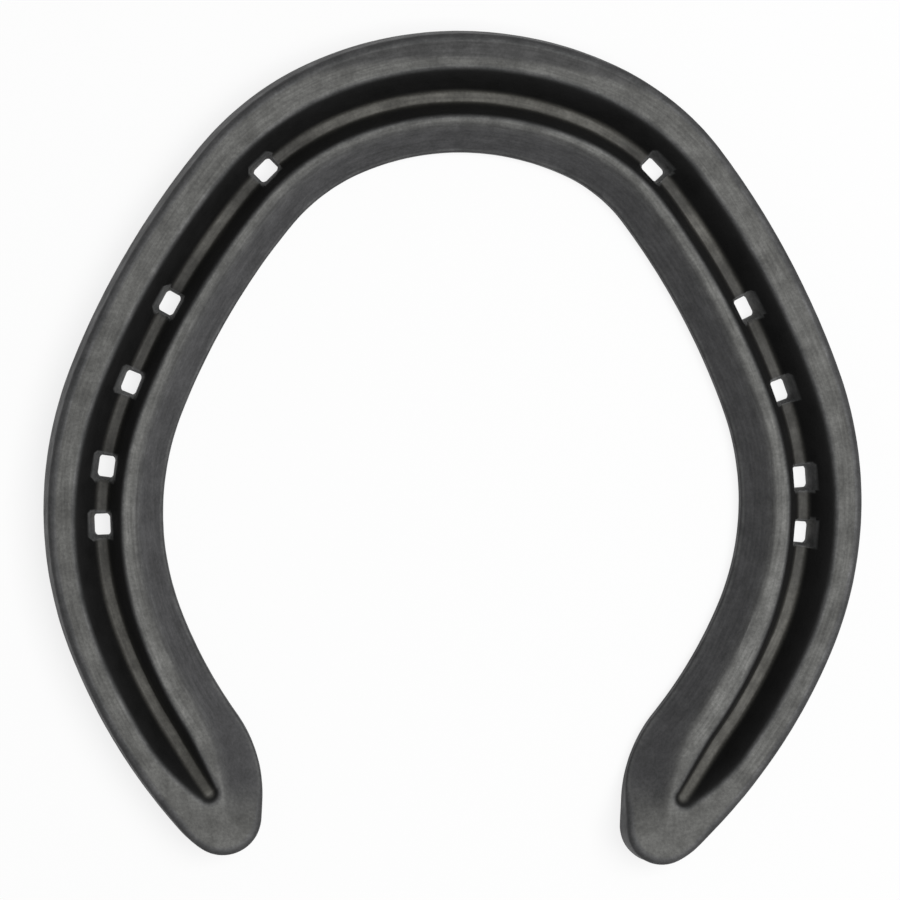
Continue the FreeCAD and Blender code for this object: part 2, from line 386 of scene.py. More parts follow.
@dataclass
class Branch:
    """The plan of one branch: its outline and the line of its crease.

    Attributes:
        sizes: The branch's own sizes.
        bar: The bar's sizes.
        crease: The crease's sizes.
    """

    sizes: BranchSizes
    bar: BarSizes
    crease: CreaseSizes

    def __post_init__(self) -> None:
        """Works out the arcs of the outline."""
        turn = self.sizes.side.value
        self.outer = self._chain(self.bar.toe_y, 0.0)
        self.inner = self._chain(self.bar.toe_y - self.bar.toe_web, self.sizes.web)
        heading = 90.0 + turn * 90.0 + turn * sum(self.sizes.sweeps)
        outer_radius, inner_radius = self.sizes.tip_radii
        tip_outer = Bend.leaving(self.outer[-1].end(), heading, outer_radius, turn, self.sizes.tip_sweep)
        heading += turn * self.sizes.tip_sweep
        to_straight = (turn * (90.0 - heading)) % 360.0
        tip_inner = Bend.leaving(tip_outer.end(), heading, inner_radius, turn, to_straight)

        heel = self.inner[-1]
        radius = self.sizes.corner_radius
        across = tip_inner.end()[0] - turn * radius - heel.centre[0]
        down = math.sqrt((heel.radius + radius) ** 2 - across**2)
        meeting = math.degrees(math.atan2(-down, across))
        start = 90.0 - turn * 90.0
        corner_sweep = turn * ((turn * (meeting + 180.0 - start)) % 360.0)
        corner = Bend((heel.centre[0] + across, heel.centre[1] - down), radius, start, corner_sweep)
        used = turn * ((turn * (meeting - heel.start)) % 360.0)
        inner_heel = Bend(heel.centre, heel.radius, heel.start, used)
        self.inner_arcs = self.inner[:-1] + [inner_heel]
        self.heel_arcs = [tip_outer, tip_inner]
        self.corner = corner
        self.lengths = [bend.length for bend in self.outer]

    def _chain(self, start_y: float, offset: float) -> list[Bend]:
        """The branch's tangent arcs, each offset inside the outer edge."""
        turn = self.sizes.side.value
        point = (0.0, start_y)
        heading = 90.0 + turn * 90.0
        bends = []
        for radius, sweep in zip(self.sizes.radii, self.sizes.sweeps):
            bend = Bend.leaving(point, heading, radius - offset, turn, sweep)
            bends.append(bend)
            point = bend.end()
            heading += turn * sweep
        return bends

    def stations(self, lengths: Array) -> tuple[Array, Array, Array]:
        """Where lengths along the outer edge lie.

        Args:
            lengths: Distances from the toe's centre.

        Returns:
            The points, the directions inwards across the bar, and the angles turned so far, in degrees.
        """
        points = np.zeros((len(lengths), 2))
        inward = np.zeros((len(lengths), 2))
        turned = np.zeros(len(lengths))
        done = 0.0
        angle = 0.0
        last = len(self.outer) - 1
        for place, bend in enumerate(self.outer):
            inside = (lengths >= done) & ((lengths < done + bend.length) | (place == last))
            share = (lengths[inside] - done) / bend.length
            points[inside] = bend.points(share)
            inward[inside] = bend.inward(share)
            turned[inside] = angle + abs(bend.sweep) * share
            done += bend.length
            angle += abs(bend.sweep)
        return points, inward, turned

    def round_heel(self, step: float) -> tuple[Array, Array]:
        """The outline from the end of the outer arcs, round the heel, to the toe's inner edge.

        Args:
            step: The distance between points.

        Returns:
            The points, and their distances from the first.
        """
        parts = []
        for bend in self.heel_arcs:
            parts.append(bend.points(np.linspace(0.0, 1.0, max(3, int(bend.length / step)))[:-1]))
        straight = np.array([self.heel_arcs[-1].end(), tuple(self.corner.points(np.array([0.0]))[0])])
        count = max(3, int(np.linalg.norm(straight[1] - straight[0]) / step))
        parts.append(straight[0] + np.linspace(0.0, 1.0, count)[:-1, None] * (straight[1] - straight[0]))
        parts.append(self.corner.points(np.linspace(0.0, 1.0, int(self.corner.length / step))[:-1]))
        for bend in reversed(self.inner_arcs):
            parts.append(bend.points(np.linspace(1.0, 0.0, int(bend.length / step))[:-1]))
        parts.append(np.array([[0.0, self.bar.toe_y - self.bar.toe_web]]))
        points = np.concatenate(parts)
        gaps = np.linalg.norm(np.diff(points, axis=0), axis=1)
        return points, np.concatenate([[0.0], np.cumsum(gaps)])

    def nearest(self, places: Array) -> tuple[Array, Array]:
        """How far places are from the heel and the inner edge.

        Args:
            places: Points of the plan, one to a row.

        Returns:
            Their distances from round_heel's outline, and how far along it the nearest points lie.
        """
        outline, run = self.round_heel(COARSE_STEP)
        tree = KDTree(len(outline))
        for i, point in enumerate(outline):
            tree.insert((*point, 0.0), i)
        tree.balance()
        found = np.array([tree.find((*place, 0.0))[1] for place in places])
        distance = np.full(len(places), np.inf)
        along = np.zeros(len(places))
        for before in (-1, 0):
            first = np.clip(found + before, 0, len(outline) - 2)
            start, step = outline[first], outline[first + 1] - outline[first]
            share = np.clip(np.sum((places - start) * step, axis=1) / np.sum(step * step, axis=1), 0.0, 1.0)
            gap = np.linalg.norm(places - start - step * share[:, None], axis=1)
            along = np.where(gap < distance, blend(run[first], run[first + 1], share), along)
            distance = np.minimum(gap, distance)
        return distance, along

    @property
    def corner_start(self) -> float:
        """How far along round_heel's outline the corner starts."""
        straight = math.dist(self.heel_arcs[-1].end(), tuple(self.corner.points(np.array([0.0]))[0]))
        return sum(bend.length for bend in self.heel_arcs) + straight

    def cross_bar(self, points: Array, inward: Array) -> tuple[Array, Array]:
        """Where lines across the bar meet its inner edge.

        Args:
            points: The lines' starts on the outer edge.
            inward: Their directions.

        Returns:
            The bar's width along each line, and how far along round_heel's outline each meets it.
        """
        edge, run = self.round_heel(FINE_STEP)
        narrowest, widest = BAR_WIDTHS
        width = np.zeros(len(points))
        place = np.zeros(len(points))
        for i, (start, way) in enumerate(zip(points, inward)):
            offset = edge - start
            side = offset[:, 0] * way[1] - offset[:, 1] * way[0]
            along = offset @ way
            near = (along[:-1] > narrowest) & (along[:-1] < widest)
            crossing = np.nonzero((side[:-1] * side[1:] <= NEARLY_ZERO) & near)[0]
            first = crossing[np.argmin(along[crossing])]
            share = side[first] / (side[first] - side[first + 1] + NO_DIVISION_BY_ZERO)
            width[i] = blend(along[first], along[first + 1], share)
            place[i] = blend(run[first], run[first + 1], share)
        return width, place

    def crease_line(self, lengths: Array, turned: Array) -> Rows:
        """The crease's cross-section at lengths along the outer edge.

        Args:
            lengths: Distances from the toe's centre.
            turned: The angles turned there, in degrees.

        Returns:
            The place of its middle and of its floor's middle, its width, its floor's width and its depth.
        """
        crease = self.crease
        start = sum(self.lengths[:-1]) - crease.heel_start
        full = self.sizes.crease_length - crease.run_out
        middle = crease.offset + (crease.toe_offset - crease.offset) * np.cos(np.radians(turned))
        width = blend(crease.width, crease.heel_width, smooth_step(start, full, lengths))
        narrowing = np.clip((lengths - full) / crease.run_out, 0.0, 1.0) ** crease.run_out_power
        depth = blend(crease.depth, crease.tip_depth, narrowing)
        return {
            "middle": middle,
            "floor": middle + crease.floor_shift * depth / crease.depth,
            "width": blend(width, crease.tip_width, narrowing),
            "floor_width": blend(crease.floor_width, crease.tip_floor, narrowing),
            "depth": depth,
        }


# --- The bar ---


@dataclass
class Bar:
    """The bar of the shoe, as one closed skin.

    Attributes:
        sizes: The bar's sizes.
        crease: The crease's sizes.
        tones: Where its tones lie.
        levels: How finely a row is divided.
        step: The distance between neighbouring points along the bar, in millimetres.
    """

    sizes: BarSizes
    crease: CreaseSizes
    tones: ToneSizes
    levels: Levels
    step: float = 0.6

    def __post_init__(self) -> None:
        """Lays out both branches."""
        self.branches = {
            Side.LEFT: Branch(LEFT_BRANCH, self.sizes, self.crease),
            Side.RIGHT: Branch(RIGHT_BRANCH, self.sizes, self.crease),
        }

    def _half_rows(self, side: Side) -> dict[str, Rows]:
        """One branch's rows from the toe: those of the outer half, round the heel, and of the inner half."""
        branch = self.branches[side]
        lengths = np.linspace(0.0, branch.sizes.crease_length, int(branch.sizes.crease_length / self.step))
        points, inward, turned = branch.stations(lengths)
        width, place = branch.cross_bar(points, inward)
        line = branch.crease_line(lengths, turned)
        half = line["width"] / 2.0
        floor_half = line["floor_width"] / 2.0
        nails = np.array(branch.sizes.nail_stations)
        common = {
            "middle": points + inward * line["floor"][:, None],
            "depth": line["depth"],
            "along": lengths * -side.value,
            "nail": np.min(np.abs(lengths[:, None] - nails), axis=1),
            "width": width,
        }
        outer = {
            **common,
            "edge": points,
            "brink": line["middle"] - half,
            "foot": line["floor"] - floor_half,
            "inside": np.zeros(len(lengths)),
        }
        inner = {
            **common,
            "edge": points + inward * width[:, None],
            "brink": width - line["middle"] - half,
            "foot": width - line["floor"] - floor_half,
            "inside": np.ones(len(lengths)),
        }
        outline, run = branch.round_heel(FINE_STEP)
        tail_length = sum(branch.lengths) - branch.sizes.crease_length
        tail_count = max(3, int(tail_length / self.step))
        tail = np.linspace(branch.sizes.crease_length, sum(branch.lengths), tail_count)
        tail_points, _, _ = branch.stations(tail)
        stop = place[-1]
        marks = np.linspace(0.0, stop, int(stop / self.step))
        around = np.stack([np.interp(marks, run, outline[:, i]) for i in (0, 1)], axis=1)
        edge = np.concatenate([tail_points[1:-1], around[:-1]])
        reach = np.linalg.norm(edge - common["middle"][-1], axis=1)
        share = np.linspace(0.0, 1.0, len(edge) + 2)[1:-1]
        outer_lip = outer["foot"][-1] - outer["brink"][-1]
        inner_lip = inner["foot"][-1] - inner["brink"][-1]
        foot = reach - floor_half[-1]
        fan = {
            **{key: np.repeat(values[-1:], len(edge), axis=0) for key, values in common.items()},
            "edge": edge,
            "brink": foot - blend(outer_lip, inner_lip, share),
            "foot": foot,
            "inside": share,
        }
        return {"outer": outer, "fan": fan, "inner": inner}

    def _rows(self) -> Rows:
        """Every row across the skin, in one closed loop: outer edge, right heel, inner edge, left heel."""
        left = self._half_rows(Side.LEFT)
        right = self._half_rows(Side.RIGHT)
        order = [
            {key: values[::-1] for key, values in left["outer"].items()},
            {key: values[1:] for key, values in right["outer"].items()},
            right["fan"],
            {key: values[::-1] for key, values in right["inner"].items()},
            {key: values[1:] for key, values in left["inner"].items()},
            {key: values[::-1] for key, values in left["fan"].items()},
        ]
        return {key: np.concatenate([stretch[key] for stretch in order]) for key in left["outer"]}

    def _bevel(self, rows: Rows, across: Array) -> tuple[Array, Array]:
        """Where points lie on the concave bevel.

        Args:
            rows: The rows of the skin.
            across: Distances from each row's edge, one column to a level.

        Returns:
            The share of the bevel's width at which each point lies, and how whole the bevel is there.
        """
        bar = self.sizes
        share = np.full(across.shape, FAR_PAST_BEVEL)
        whole = np.zeros(across.shape)
        place = self._places(rows, across)
        for side, branch in self.branches.items():
            mine = (rows["inside"] > 0.0) & (rows["along"] * side.value <= 0.0)
            distance, run = branch.nearest(place[mine].reshape(-1, 2))
            run = run - branch.corner_start
            width = blend(bar.bevel_heel_width, bar.bevel_width, smooth_step(*bar.bevel_spread, run))
            share[mine] = (distance / width).reshape(-1, across.shape[1])
            whole[mine] = smooth_step(*bar.bevel_fade, run).reshape(-1, across.shape[1])
        return share, whole

    def _places(self, rows: Rows, across: Array) -> Array:
        """The plan of points at distances from each row's edge."""
        way = rows["middle"] - rows["edge"]
        way = way / np.linalg.norm(way, axis=1)[:, None]
        return rows["edge"][:, None, :] + way[:, None, :] * across[:, :, None]

    def _before_tip(self, rows: Rows) -> Array:
        """How far along the bar each row is from its own crease's tip."""
        left, right = (self.branches[side].sizes.crease_length for side in (Side.LEFT, Side.RIGHT))
        return np.where(rows["along"] < 0.0, left + rows["along"], right - rows["along"])

    def _past_roll(self, rows: Rows, across: Array) -> Array:
        """How far past the line where the rolled toe starts each point is."""
        bar = self.sizes
        place = self._places(rows, across)
        roll_y = bar.toe_y - bar.roll_width - bar.roll_radius
        return np.hypot(place[:, :, 0], place[:, :, 1] - roll_y) - bar.roll_radius

    def _ground_height(self, rows: Rows, across: Array) -> Array:
        """The ground side's height, without the crease, at distances from the edge.

        Args:
            rows: The rows of the skin.
            across: Distances from each row's edge, one column to a level.

        Returns:
            Heights of the same shape.
        """
        bar = self.sizes
        rolled = bar.thickness - self._past_roll(rows, across) * bar.roll_drop / bar.roll_width
        height = smooth_min(np.full(across.shape, bar.thickness), rolled, bar.roll_blend)
        share, whole = self._bevel(rows, across)
        rise = bar.thickness - bar.bevel_land
        hollow = bar.bevel_land + rise * share - 4.0 * bar.bevel_sag * share * (1.0 - share)
        past = bar.thickness + (rise + 4.0 * bar.bevel_sag) * (share - 1.0)
        bevelled = smooth_min(height, np.where(share < 1.0, hollow, past), bar.bevel_blend)
        return blend(height, bevelled, whole)

    def _skirt(self, rows: Rows, reach: Array) -> tuple[Array, Array]:
        """The levels from the middle of the hoof face, up the side and over the edge.

        Args:
            rows: The rows of the skin.
            reach: How far each row's middle lies from its edge.

        Returns:
            The levels' distances from each row's edge, and their heights.
        """
        bar, levels = self.sizes, self.levels
        count = len(reach)
        edge_height = np.full(count, bar.thickness)
        for _ in range(levels.edge_rounds):
            edge_height = self._ground_height(rows, edge_height[:, None] * bar.draft / bar.thickness)[:, 0]
        rise = smooth_step(bar.bevel_land, bar.thickness - bar.roll_drop, edge_height)
        rounding = blend(bar.inner_round, bar.outer_round, rise)
        lean = bar.draft / bar.thickness

        across = []
        height = []
        for share in levels.hoof_shares:
            across.append(bar.hoof_round + (reach - bar.hoof_round) * share)
            height.append(np.zeros(count))
        for angle in np.radians(levels.hoof_angles):
            across.append(np.full(count, bar.hoof_round * (1.0 - math.sin(angle))))
            height.append(np.full(count, bar.hoof_round * (1.0 - math.cos(angle))))
        for share in levels.side_shares:
            level = blend(bar.hoof_round, edge_height - rounding, share)
            across.append(level * lean)
            height.append(level)
        for angle in np.radians(levels.edge_angles):
            over = 1.0 - math.cos(angle)
            across.append((edge_height - rounding) * lean + rounding * over)
            top = self._ground_height(rows, across[-1][:, None])[:, 0]
            height.append(edge_height - rounding * (1.0 - math.sin(angle)) + (top - edge_height) * over)
        return np.stack(across, axis=1), np.stack(height, axis=1)

    def _face(self, rows: Rows, start: Array, reach: Array) -> tuple[Array, Array]:
        """The levels of the ground side, from its edge to the middle of the crease.

        Args:
            rows: The rows of the skin.
            start: How far from each row's edge they start.
            reach: How far each row's middle lies from its edge.

        Returns:
            The levels' distances from each row's edge, and their heights.
        """
        bar, crease, levels = self.sizes, self.crease, self.levels
        brink, foot = rows["brink"], rows["foot"]
        lip = np.minimum(levels.lip, levels.lip_share * (foot - brink))
        foot_end = foot + lip * levels.foot_share
        stops = [
            (start, brink - lip, levels.rim),
            (brink - lip, brink + lip, levels.brink),
            (brink + lip, foot - lip, levels.wall),
            (foot - lip, foot_end, levels.foot),
            (foot_end, reach, levels.floor),
        ]
        across = np.stack(
            [low + (high - low) * (i + 1) / count for low, high, count in stops for i in range(count)], axis=1
        )
        slope = rows["depth"] / (foot - brink)
        wall = bar.thickness - slope[:, None] * (across - brink[:, None])
        floor = np.broadcast_to((bar.thickness - rows["depth"])[:, None], wall.shape)
        swage = smooth_max(wall, floor, crease.foot_blend)
        return across, smooth_min(self._ground_height(rows, across), swage, crease.brink_blend)

    def _marks(self, rows: Rows, face: Array, across: Array) -> Rows:
        """What each point of the skin is.

        Args:
            rows: The rows of the skin.
            face: The ground side's distances from each row's edge.
            across: Every level's distances from it, of which those are the last.

        Returns:
            By name, how much of each tone each point has, and where it lies along and across the bar.
        """
        tones = self.tones
        low = across.shape[1] - face.shape[1]
        inside = rows["inside"][:, None]
        before_tip = self._before_tip(rows)[:, None]
        into = face - rows["brink"][:, None]
        span = (rows["foot"] - rows["brink"])[:, None]
        # The floor is painted darker between the nails and round each hole: painted shade.
        among_nails = 1.0 - smooth_step(*tones.among_nails, rows["nail"])
        open_floor = smooth_step(*tones.by_nail, rows["nail"]) * (1.0 - tones.nail_gap_shade * among_nails)
        share, whole = self._bevel(rows, face)
        # The bevel is painted darker: painted shade on its slope.
        bevel = (1.0 - smooth_step(*tones.bevel, share)) * whole**tones.bevel_fade_power
        rim = (1.0 - bevel) * (1.0 - smooth_step(*tones.rim, into))
        # The narrow land between the crease and the bevel is painted paler: a painted highlight.
        crested = inside * smooth_step(*tones.crest_start, before_tip)
        # The rounded outer edge and the rolled toe are painted darker: painted shade on their sloping faces.
        rolled = smooth_step(*tones.roll, self._past_roll(rows, face))
        margin = np.maximum((1.0 - smooth_step(*tones.margin, face)) * (1.0 - inside), rolled)
        # The crease is painted near-black from its brink to just inside the floor: painted shade in the
        # crease, with some darker scale.
        of_face = {
            "wall": smooth_step(*tones.wall, into),
            "floor": smooth_step(*tones.floor, into - span) * open_floor[:, None],
            "rim": rim,
            "crest_highlight": smooth_step(*tones.crest_highlight, share) * crested * rim,
            "bevel": bevel,
            "margin": margin * (1.0 - smooth_step(*tones.round_tip, inside)),
        }
        marks = {name: np.pad(values, ((0, 0), (low, 0))) for name, values in of_face.items()}
        # The sides and the last levels of the rounded edge are painted darker: painted shade on the upright
        # faces.
        marks["side"] = np.zeros(across.shape)
        marks["side"][:, :low] = 1.0
        marks["side"][:, low - len(tones.edge) : low] = tones.edge
        marks["along"] = np.broadcast_to(rows["along"][:, None], across.shape)
        marks["across"] = blend(across, rows["width"][:, None] - across, inside)
        round_heel = (inside > 0.0) & (inside < 1.0)
        lengthwise = np.where(round_heel, 0.0, smooth_step(*tones.streaks, before_tip))
        marks["lengthwise"] = np.broadcast_to(lengthwise, across.shape)
        return marks

    def skin(self) -> tuple[Array, Rows]:
        """The skin's points.

        Returns:
            The points in millimetres, row by level by axis, and what each point is, by name.
        """
        rows = self._rows()
        reach = np.linalg.norm(rows["middle"] - rows["edge"], axis=1)
        skirt, skirt_height = self._skirt(rows, reach)
        face, face_height = self._face(rows, skirt[:, -1], reach)
        across = np.concatenate([skirt, face], axis=1)
        height = np.concatenate([skirt_height, face_height], axis=1)
        points = np.concatenate([self._places(rows, across), height[:, :, None]], axis=2)
        return points, self._marks(rows, face, across)

    def mesh(self, name: str) -> bpy.types.Mesh:
        """Builds the skin as a mesh in metres, closed once its doubled middle lines are merged."""
        points, marks = self.skin()
        count, levels = points.shape[:2]
        mesh = bpy.data.meshes.new(name)
        index = np.arange(count * levels).reshape(count, levels)
        after = np.roll(index, -1, axis=0)
        quads = np.stack([index[:, :-1], after[:, :-1], after[:, 1:], index[:, 1:]], axis=2).reshape(-1, 4)
        mesh.from_pydata((points.reshape(-1, 3) * MM).tolist(), [], quads.tolist())
        for mark, values in marks.items():
            layer = mesh.attributes.new(mark, "FLOAT", "POINT")
            layer.data.foreach_set("value", values.reshape(-1).astype(np.float32))
        mesh.update()
        return mesh


# --- The forging: nail holes and unevenness, in Geometry Nodes ---


@dataclass(frozen=True)
class NailHoleSizes:
    """The stamped nail holes, in millimetres and degrees. Pairs are across and along the bar.

    Attributes:
        throat: The hole on the hoof face.
        mouth: The hole at the mouth height.
        throat_top: Where the taper starts.
        mouth_height: Where the mouth is measured.
        pitch: How far the hole leans outwards.
        overcut: How far the punch passes the hoof face.
    """

    throat: tuple[float, float] = (2.6, 3.5)
    mouth: tuple[float, float] = (4.0, 6.2)
    throat_top: float = 1.8
    mouth_height: float = 5.6
    pitch: float = 6.0
    overcut: float = 1.0


@dataclass(frozen=True)
class ForgingSizes:
    """How uneven the forged skin is, in millimetres.

    Attributes:
        seed: Which unevenness it is.
        swell: The height of the broad unevenness that the hammer leaves.
        swell_width: How broad it is.
        pitting: The height of the fine unevenness that scale pressed into the hot bar leaves.
        pitting_width: How broad it is.
        detail: How many finer steps either has.
    """

    seed: float = 7.0
    swell: float = 0.07
    swell_width: float = 9.0
    pitting: float = 0.05
    pitting_width: float = 1.5
    detail: float = 2.0


def add_object(name: str, data: bpy.types.ID) -> bpy.types.Object:
    """Puts a mesh, a light or a camera into the scene, as an object of that name."""
    made = bpy.data.objects.new(name, data)
    bpy.context.scene.collection.objects.link(made)
    return made


class NodeTree:
    """A Geometry Nodes tree with named inputs, built node by node."""

    def __init__(self, name: str) -> None:
        """Starts an empty tree.

        Args:
            name: The tree's name.
        """
        self.tree = bpy.data.node_groups.new(name, "GeometryNodeTree")
        self.tree.interface.new_socket("Geometry", in_out="INPUT", socket_type="NodeSocketGeometry")
        self.tree.interface.new_socket("Geometry", in_out="OUTPUT", socket_type="NodeSocketGeometry")
        self.entry = self.tree.nodes.new("NodeGroupInput")
        self.exit = self.tree.nodes.new("NodeGroupOutput")

    def input(self, name: str, kind: str = "Float") -> Socket:
        """Adds a named input of a kind, and returns the socket that gives its value inside the tree."""
        self.tree.interface.new_socket(name, in_out="INPUT", socket_type=f"NodeSocket{kind}")
        return self.entry.outputs[name]

    def apply(self, subject: bpy.types.Object, values: dict[str, object], name: str) -> bpy.types.Object:
        """Runs the tree on an object and keeps the result as a plain mesh.

        Args:
            subject: The object to start from; it is removed.
            values: Input values by the inputs' names.
            name: The new object's name.

        Returns:
            The new object.
        """
        modifier = subject.modifiers.new("Tree", "NODES")
        modifier.node_group = self.tree
        for item in self.tree.interface.items_tree:
            if item.item_type == "SOCKET" and item.in_out == "INPUT" and item.name in values:
                modifier[item.identifier] = values[item.name]
        shown = subject.evaluated_get(bpy.context.evaluated_depsgraph_get())
        mesh = bpy.data.meshes.new_from_object(shown)
        bpy.data.objects.remove(subject)
        mesh.name = name
        return add_object(name, mesh)


def add_node(
    tree: bpy.types.NodeTree,
    kind: str,
    inputs: dict[str | int, object] | None = None,
    **settings: object,
) -> bpy.types.Node:
    """Adds a node, with its settings and links.

    Args:
        tree: The tree that it joins.
        kind: The node's type name.
        inputs: By input name or place, either a value or a socket to link from.
        **settings: The node's own properties.

    Returns:
        The node.
    """
    node = tree.nodes.new(kind)
    for name, value in settings.items():
        setattr(node, name, value)
    for key, value in (inputs or {}).items():
        if isinstance(value, Socket):
            tree.links.new(value, node.inputs[key])
        else:
            node.inputs[key].default_value = value
    return node


@dataclass
class Forging:
    """The work done on the bar: the skin is made uneven and the nail holes are punched.

    Attributes:
        bar: The bar whose crease the nails stand in.
        holes: The nail holes' sizes.
        skin: The unevenness.
    """

    bar: Bar
    holes: NailHoleSizes
    skin: ForgingSizes

    def nail_points(self) -> bpy.types.Object:
        """A point for each nail, on the crease's floor, with its heading across the bar as an attribute."""
        places = []
        headings = []
        for branch in self.bar.branches.values():
            lengths = np.array(branch.sizes.nail_stations)
            points, inward, turned = branch.stations(lengths)
            offset = branch.crease_line(lengths, turned)["floor"]
            plan = points + inward * offset[:, None]
            places += [(x * MM, y * MM, self.pivot_height() * MM) for x, y in plan]
            headings += list(np.arctan2(inward[:, 1], inward[:, 0]))
        mesh = bpy.data.meshes.new("nail_points")
        mesh.from_pydata(places, [], [])
        mesh.attributes.new("heading", "FLOAT", "POINT").data.foreach_set("value", headings)
        return add_object("nail_points", mesh)

    def pivot_height(self) -> float:
        """The height of the crease's floor, in millimetres, about which a leaning nail hole turns."""
        return self.bar.sizes.thickness - self.bar.crease.depth

    def lengths(self) -> dict[str, float]:
        """The lengths that the tree is given, in millimetres, by the inputs' names."""
        skin, holes = self.skin, self.holes
        return {
            "Swell": skin.swell,
            "Swell width": skin.swell_width,
            "Pitting": skin.pitting,
            "Pitting width": skin.pitting_width,
            "Throat across": holes.throat[0],
            "Throat along": holes.throat[1],
            "Mouth across": holes.mouth[0],
            "Mouth along": holes.mouth[1],
            "Throat top": holes.throat_top,
            "Mouth height": holes.mouth_height,
            "Pivot height": self.pivot_height(),
            "Overcut": holes.overcut,
            "Seam": SEAM,
        }

    def tree(self) -> NodeTree:
        """The tree that makes the skin uneven, punches the holes and closes the seams."""
        made = NodeTree("forging")
        nodes = made.tree
        given = {name: made.input(name) for name in self.lengths()}
        seed = made.input("Seed")
        pitch = made.input("Pitch")
        points = made.input("Nail points", "Object")
        finish = made.input("Finish", "Material")

        def math_node(operation: str, *values: object) -> Socket:
            """The result of one sum, from sockets or numbers."""
            node = add_node(nodes, "ShaderNodeMath", dict(enumerate(values)), operation=operation)
            return node.outputs[0]

        closed = add_node(
            nodes,
            "GeometryNodeMergeByDistance",
            {"Geometry": made.entry.outputs["Geometry"], "Distance": given["Seam"]},
        )
        losses = []
        for name in ("Swell", "Pitting"):
            scale = math_node("DIVIDE", 1.0, given[f"{name} width"])
            inputs = {"Scale": scale, "W": seed, "Detail": self.skin.detail}
            noise = add_node(nodes, "ShaderNodeTexNoise", inputs, noise_dimensions="4D")
            losses.append(math_node("MULTIPLY", noise.outputs[0], given[name]))
        normal = add_node(nodes, "GeometryNodeInputNormal").outputs[0]
        depth = math_node("MULTIPLY", math_node("ADD", *losses), -1.0)
        inward = add_node(nodes, "ShaderNodeVectorMath", {0: normal, 3: depth}, operation="SCALE")
        moved = {"Geometry": closed.outputs[0], "Offset": inward.outputs[0]}
        uneven = add_node(nodes, "GeometryNodeSetPosition", moved)

        block = add_node(
            nodes,
            "GeometryNodeMeshCylinder",
            {"Vertices": PUNCH_SIDES, "Side Segments": 2, "Radius": 0.5 * CORNER_REACH, "Depth": 2.0},
        )
        position = add_node(nodes, "GeometryNodeInputPosition").outputs[0]
        parts = add_node(nodes, "ShaderNodeSeparateXYZ", {0: position})
        above = math_node("MAXIMUM", parts.outputs[2], 0.0)
        below = math_node("MINIMUM", parts.outputs[2], 0.0)
        throat_top = given["Throat top"]
        reach = math_node("SUBTRACT", math_node("MULTIPLY", given["Mouth height"], 2.0), throat_top)
        spread = math_node("DIVIDE", reach, math_node("SUBTRACT", given["Mouth height"], throat_top))

        def widened(axis: int, way: str) -> Socket:
            """A coordinate of the punch, tapered from its throat to past its mouth."""
            throat = given[f"Throat {way}"]
            growth = math_node("MULTIPLY", math_node("SUBTRACT", given[f"Mouth {way}"], throat), spread)
            size = math_node("MULTIPLY_ADD", above, growth, throat)
            squared = math_node("MAXIMUM", math_node("MINIMUM", parts.outputs[axis], 0.5), -0.5)
            return math_node("MULTIPLY", squared, size)

        level = math_node("SUBTRACT", throat_top, given["Pivot height"])
        level = math_node("MULTIPLY_ADD", above, reach, level)
        level = math_node("MULTIPLY_ADD", below, math_node("ADD", throat_top, given["Overcut"]), level)
        shape = {0: widened(0, "across"), 1: widened(1, "along"), 2: level}
        shaped = add_node(nodes, "ShaderNodeCombineXYZ", shape)
        moved = {"Geometry": block.outputs[0], "Position": shaped.outputs[0]}
        punch = add_node(nodes, "GeometryNodeSetPosition", moved)
        # The punch's faces are marked, so that the nail holes' walls are painted near-black: painted shade.
        marked = add_node(
            nodes,
            "GeometryNodeStoreNamedAttribute",
            {"Geometry": punch.outputs[0], "Name": "hole", "Value": 1.0},
            data_type="FLOAT",
            domain="POINT",
        )
        spots = add_node(nodes, "GeometryNodeObjectInfo", {"Object": points})
        heading = add_node(nodes, "GeometryNodeInputNamedAttribute", {"Name": "heading"}, data_type="FLOAT")
        lean = add_node(
            nodes, "ShaderNodeCombineXYZ", {1: math_node("MULTIPLY", pitch, -1.0), 2: heading.outputs[0]}
        )
        placed = {
            "Points": spots.outputs["Geometry"],
            "Instance": marked.outputs[0],
            "Rotation": lean.outputs[0],
        }
        punches = add_node(nodes, "GeometryNodeInstanceOnPoints", placed)
        solid_punches = add_node(nodes, "GeometryNodeRealizeInstances", {0: punches.outputs[0]})
        punched = add_node(
            nodes,
            "GeometryNodeMeshBoolean",
            {"Mesh 1": uneven.outputs[0], "Mesh 2": solid_punches.outputs[0]},
            operation="DIFFERENCE",
            solver="EXACT",
        )
        real = add_node(nodes, "GeometryNodeRealizeInstances", {0: punched.outputs[0]})
        clothed = {"Geometry": real.outputs[0], "Material": finish}
        dressed = add_node(nodes, "GeometryNodeSetMaterial", clothed)
        nodes.links.new(dressed.outputs[0], made.exit.inputs[0])
        return made

    def strike(self, rough: bpy.types.Mesh, finish: bpy.types.Material, name: str) -> bpy.types.Object:
        """Forges the rough skin.

        Args:
            rough: The bar's skin.
            finish: The finish that it is given.
            name: The finished piece's name.

        Returns:
            The finished piece.
        """
        subject = add_object("rough", rough)
        points = self.nail_points()
        values = {key: length * MM for key, length in self.lengths().items()}
        values |= {
            "Seed": self.skin.seed,
            "Pitch": math.radians(self.holes.pitch),
            "Nail points": points,
            "Finish": finish,
        }
        made = self.tree().apply(subject, values, name)
        bpy.data.objects.remove(points)
        made.data.shade_smooth()
        made.data.set_sharp_from_angle(angle=math.radians(SHARP_ANGLE))
        return made


# --- Finish ---


def linear(colour: str) -> tuple[float, float, float, float]:
    """An sRGB hex colour as linear red, green, blue and alpha."""
    channels = [int(colour[i : i + 2], 16) / 255.0 for i in (1, 3, 5)]
    return (*[c / 12.92 if c <= 0.04045 else ((c + 0.055) / 1.055) ** 2.4 for c in channels], 1.0)


